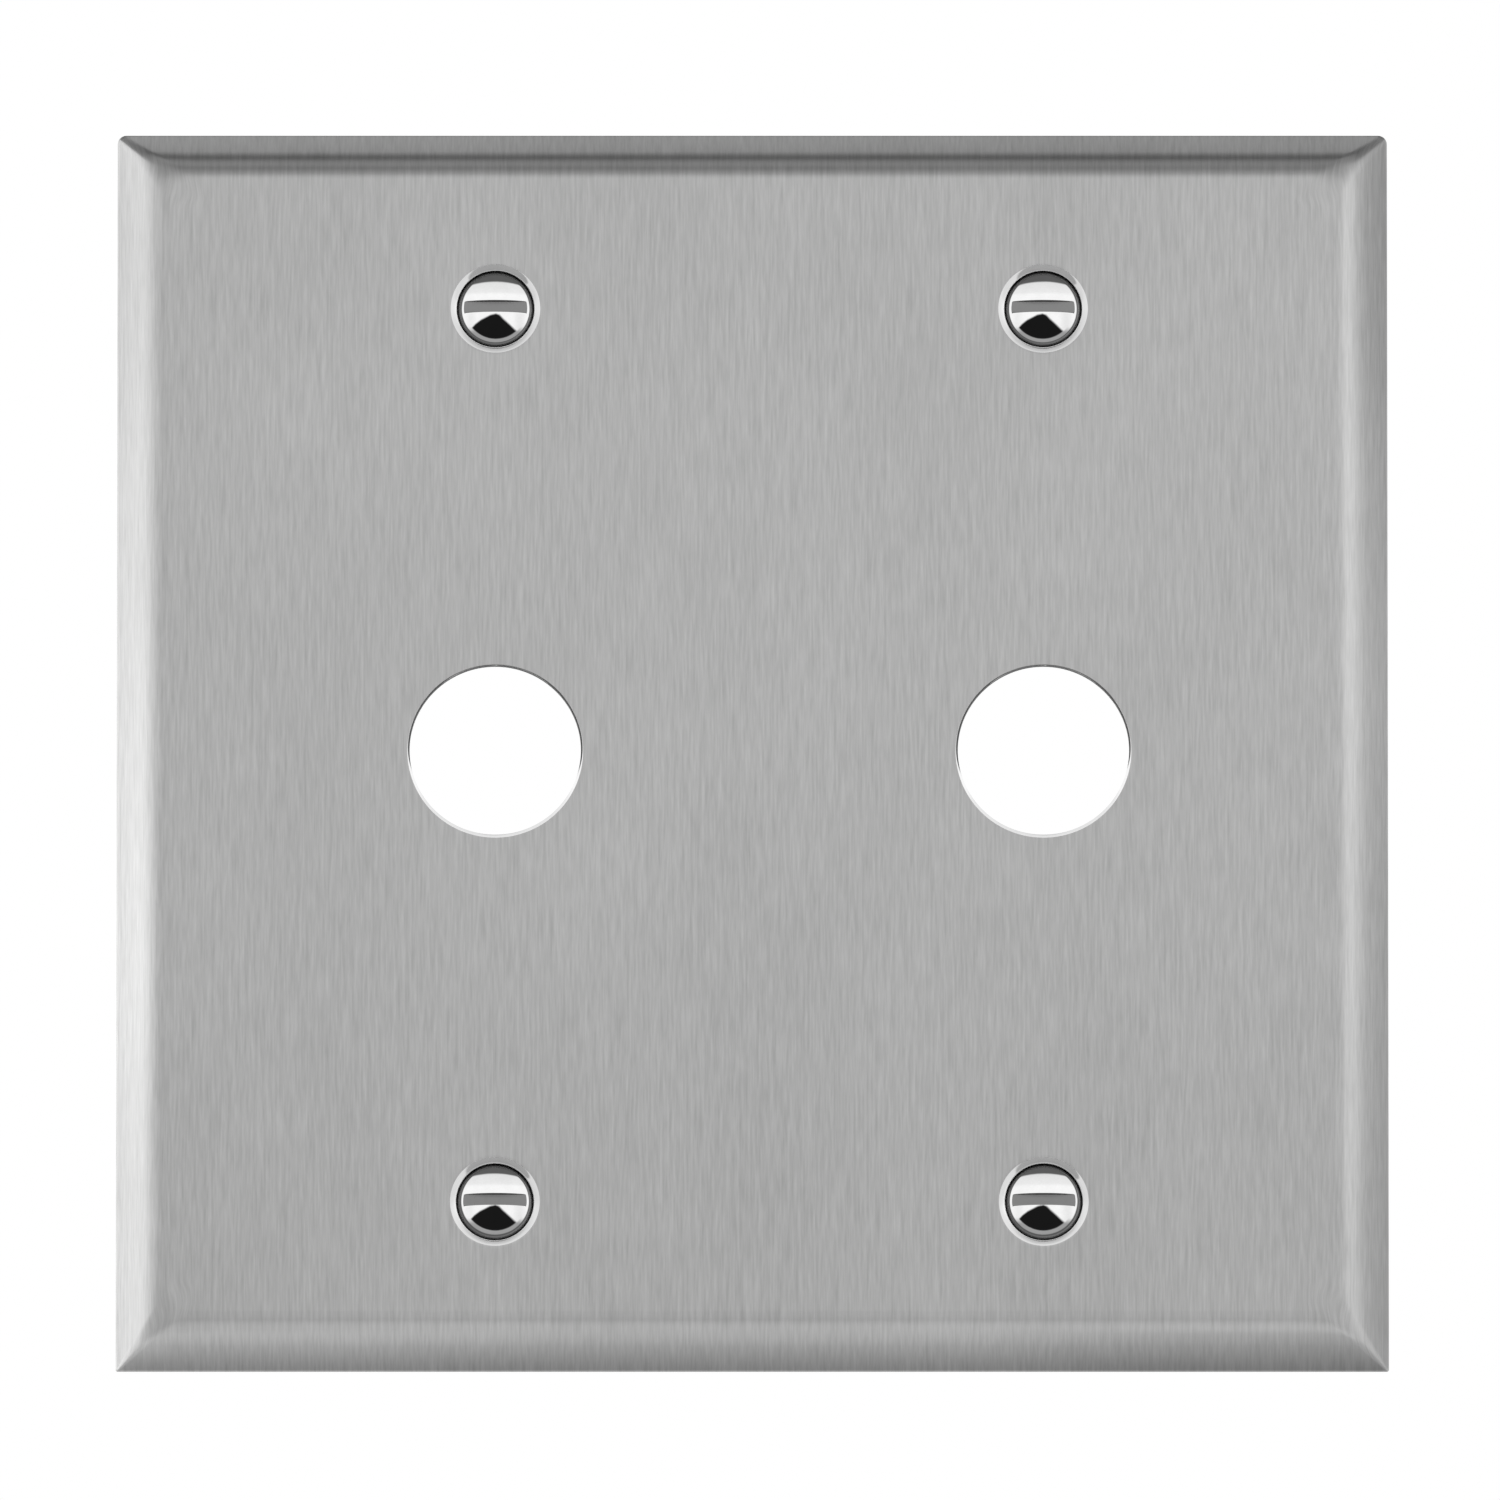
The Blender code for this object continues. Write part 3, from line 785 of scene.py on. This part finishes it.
def mirror_light(d):
    """What the polished screw heads reflect: a bright room with a dark ceiling, a dark floor
    in front and a dark horizon round it, laid out in millimetres on a head's dome."""
    half = d + EYE
    if half.length < 1e-4 or half.y > -1e-4:
        return 0.7
    half.normalize()
    x, z = half.x * DOME_R, half.z * DOME_R
    r = math.hypot(x, z)
    value = curve(z, [(-3.0, 1.0), (-0.5, 1.03), (1.2, 1.03), (1.6, 0.90), (2.1, 0.86), (2.5, 0.82)])
    value *= curve(x, [(-3.0, 1.0), (-2.3, 0.92), (-1.6, 1.0), (1.4, 1.0), (2.2, 0.88), (3.0, 1.0)]) if z < -0.4 else 1.0
    top = smooth(z + 0.05 * x * x, 2.40, 2.56)
    value += (0.115 - value) * top
    left, right = [(0, -0.52), (0.5, -0.62), (0.9, -0.82), (1.4, -1.05), (1.9, -1.40), (2.25, -1.75), (2.5, -3)], \
        [(0, -0.52), (0.35, -0.64), (0.65, -0.95), (1.2, -1.42), (1.7, -1.86), (2.15, -2.2), (2.4, -3)]
    line = float(np.interp(abs(x), *zip(*(left if x < 0 else right))))
    soft = 0.09 if x < 0.3 else 0.16
    wedge = smooth(line - z, -soft, soft) * (1 - smooth(r, 2.72, 2.86))
    below = smooth(-z, 1.5, 2.2) * smooth(r, 2.72, 2.86)
    value += (0.36 - value) * below
    value *= 1 - 0.99 * wedge
    value += (0.10 - value) * smooth(r, 3.05, 3.14)
    tilt = math.degrees(math.acos(min(1.0, -half.y)))
    return value + (0.7 - value) * smooth(tilt, 66, 74)


def emission(name, see_through):
    """Glow from the mesh's own "glow" layer. Mirror-sharp reflections pass a see-through one."""
    material = bpy.data.materials.new(name)
    material.use_nodes = True
    tree = material.node_tree
    tree.nodes.clear()
    out = tree.nodes.new("ShaderNodeOutputMaterial")
    glow = tree.nodes.new("ShaderNodeEmission")
    attribute = tree.nodes.new("ShaderNodeAttribute")
    attribute.attribute_name = "glow"
    tree.links.new(attribute.outputs["Fac"], glow.inputs["Strength"])
    if see_through:
        path = tree.nodes.new("ShaderNodeLightPath")
        clear = tree.nodes.new("ShaderNodeBsdfTransparent")
        mix = tree.nodes.new("ShaderNodeMixShader")
        tree.links.new(path.outputs["Is Singular Ray"], mix.inputs["Fac"])
        tree.links.new(glow.outputs["Emission"], mix.inputs[1])
        tree.links.new(clear.outputs["BSDF"], mix.inputs[2])
        tree.links.new(mix.outputs["Shader"], out.inputs["Surface"])
    else:
        tree.links.new(glow.outputs["Emission"], out.inputs["Surface"])
    material.cycles.emission_sampling = "NONE"
    return material


def lit_mesh(name, bm, value_of, material):
    mesh = bpy.data.meshes.new(name)
    bm.to_mesh(mesh)
    bm.free()
    layer = mesh.attributes.new("glow", "FLOAT", "POINT")
    layer.data.foreach_set("value", [value_of(v.co) for v in mesh.vertices])
    mesh.materials.append(material)
    mesh.shade_smooth()
    obj = bpy.data.objects.new(name, mesh)
    bpy.context.scene.collection.objects.link(obj)
    obj.visible_camera = False
    obj.visible_shadow = False
    return obj


SOFT_GLOW = emission("soft_glow", True)
ROOM_GLOW = emission("room_glow", False)
for name, radius, light, material in (("soft_tent", 0.50, soft_light, SOFT_GLOW), ("room", 2.0, mirror_light, ROOM_GLOW)):
    bm = bmesh.new()
    bmesh.ops.create_uvsphere(bm, u_segments=288, v_segments=180, radius=radius)
    lit_mesh(name, bm, lambda co, light=light: light(co.normalized()), material)


def card(name, side, knots, along):
    """A card just past one side of the plate, its brightness set along Y and along the side."""
    bm = bmesh.new()
    ys = np.linspace(knots[0][0], knots[-1][0], 121).tolist()
    away = 5.85 * MM
    w, h = PLATE_W / 2 + away, PLATE_H / 2 + away
    (x0, z0), (x1, z1) = {"top": ((-w, h), (w, h)), "bottom": ((-w, -h), (w, -h)),
                          "left": ((-w, -h), (-w, h)), "right": ((w, -h), (w, h))}[side]
    spans = [k / 24 for k in range(25)]
    rows = [[bm.verts.new((x0 + (x1 - x0) * t, y * MM, z0 + (z1 - z0) * t)) for t in spans] for y in ys]
    for a, b in zip(rows, rows[1:]):
        for k in range(24):
            bm.faces.new((a[k], a[k + 1], b[k + 1], b[k]))
    place = (lambda co: co.x / MM) if side in ("top", "bottom") else (lambda co: co.z / MM)
    return lit_mesh(name, bm, lambda co: curve(co.y / MM, knots) * curve(place(co), along), SOFT_GLOW)


card("upper_card", "top", [(-6.4, 0.42), (-4.6, 0.46), (-3.4, 0.38), (-2.1, 0.13), (-1.0, 0.12), (0.2, 0.38), (1.6, 0.54), (4.0, 0.54), (12, 0.50)],
     [(-60, 1.04), (60, 0.96)])
card("lower_card", "bottom", [(-6.4, 0.90), (-4.3, 0.87), (-2.7, 0.81), (-1.5, 0.75), (-0.5, 0.61), (0.6, 0.48), (1.6, 0.40), (12, 0.36)],
     [(-60, 1.10), (-40, 1.06), (-20, 1.0), (20, 1.0), (45, 0.86), (60, 0.84)])
card("left_card", "left", [(-6.4, 1.25), (-4.7, 1.62), (-2.6, 1.92), (-0.5, 1.96), (0.8, 1.62), (2.4, 1.34), (12, 1.15)],
     [(-60, 0.94), (-42, 1.0), (-17, 1.13), (0, 1.06), (25, 0.98), (45, 0.90), (60, 0.90)])
card("right_card", "right", [(-6.4, 1.42), (-4.4, 1.22), (-2.6, 0.92), (-0.5, 0.76), (2.4, 0.66), (12, 0.62)],
     [(-60, 0.94), (-42, 0.94), (-17, 1.04), (5, 1.12), (25, 1.0), (42, 0.86), (60, 0.82)])

bm = bmesh.new()
bmesh.ops.create_grid(bm, x_segments=2, y_segments=2, size=30.0)
floor_mesh = bpy.data.meshes.new("floor")
bm.to_mesh(floor_mesh)
bm.free()
floor_material = bpy.data.materials.new("pale_floor")
floor_material.use_nodes = True
floor_material.node_tree.nodes["Principled BSDF"].inputs["Base Color"].default_value = (0.92, 0.92, 0.92, 1)
floor_material.node_tree.nodes["Principled BSDF"].inputs["Roughness"].default_value = 0.9
floor_mesh.materials.append(floor_material)
floor = bpy.data.objects.new("floor", floor_mesh)
bpy.context.scene.collection.objects.link(floor)
floor.location = (0, 0, -2.4)

world = bpy.data.worlds.new("studio")
bpy.context.scene.world = world
world.use_nodes = True
world.node_tree.nodes["Background"].inputs["Color"].default_value = (1, 1, 1, 1)
world.node_tree.nodes["Background"].inputs["Strength"].default_value = 1.0

scene = bpy.context.scene
scene.view_settings.view_transform = "Standard"
scene.view_settings.look = "None"

# --------------------------------------------------------------------------
# camera: a long lens a little below the plate, looking up at it
# --------------------------------------------------------------------------
LENS = 1500.0
ELEVATION = math.radians(-9.9)
FRAME_WIDTH = 1500 / 10.977 * MM          # what the picture's width covers at the plate
distance = FRAME_WIDTH * LENS / 36.0
cam = bpy.data.cameras.new("camera")
cam.lens = LENS
cam.sensor_width = 36.0
cam.clip_start = 0.05
cam.clip_end = 200.0
camera = bpy.data.objects.new("camera", cam)
bpy.context.scene.collection.objects.link(camera)
# the picture's centre looks at a point slightly right of and above the origin
aim = Vector((-2.3 / 10.977 * MM, 0.0, 2.9 / 10.977 * MM))
back = Vector((0, -math.cos(ELEVATION), math.sin(ELEVATION)))
camera.location = aim + back * distance
camera.rotation_euler = back.to_track_quat("Z", "Y").to_euler()
scene.camera = camera
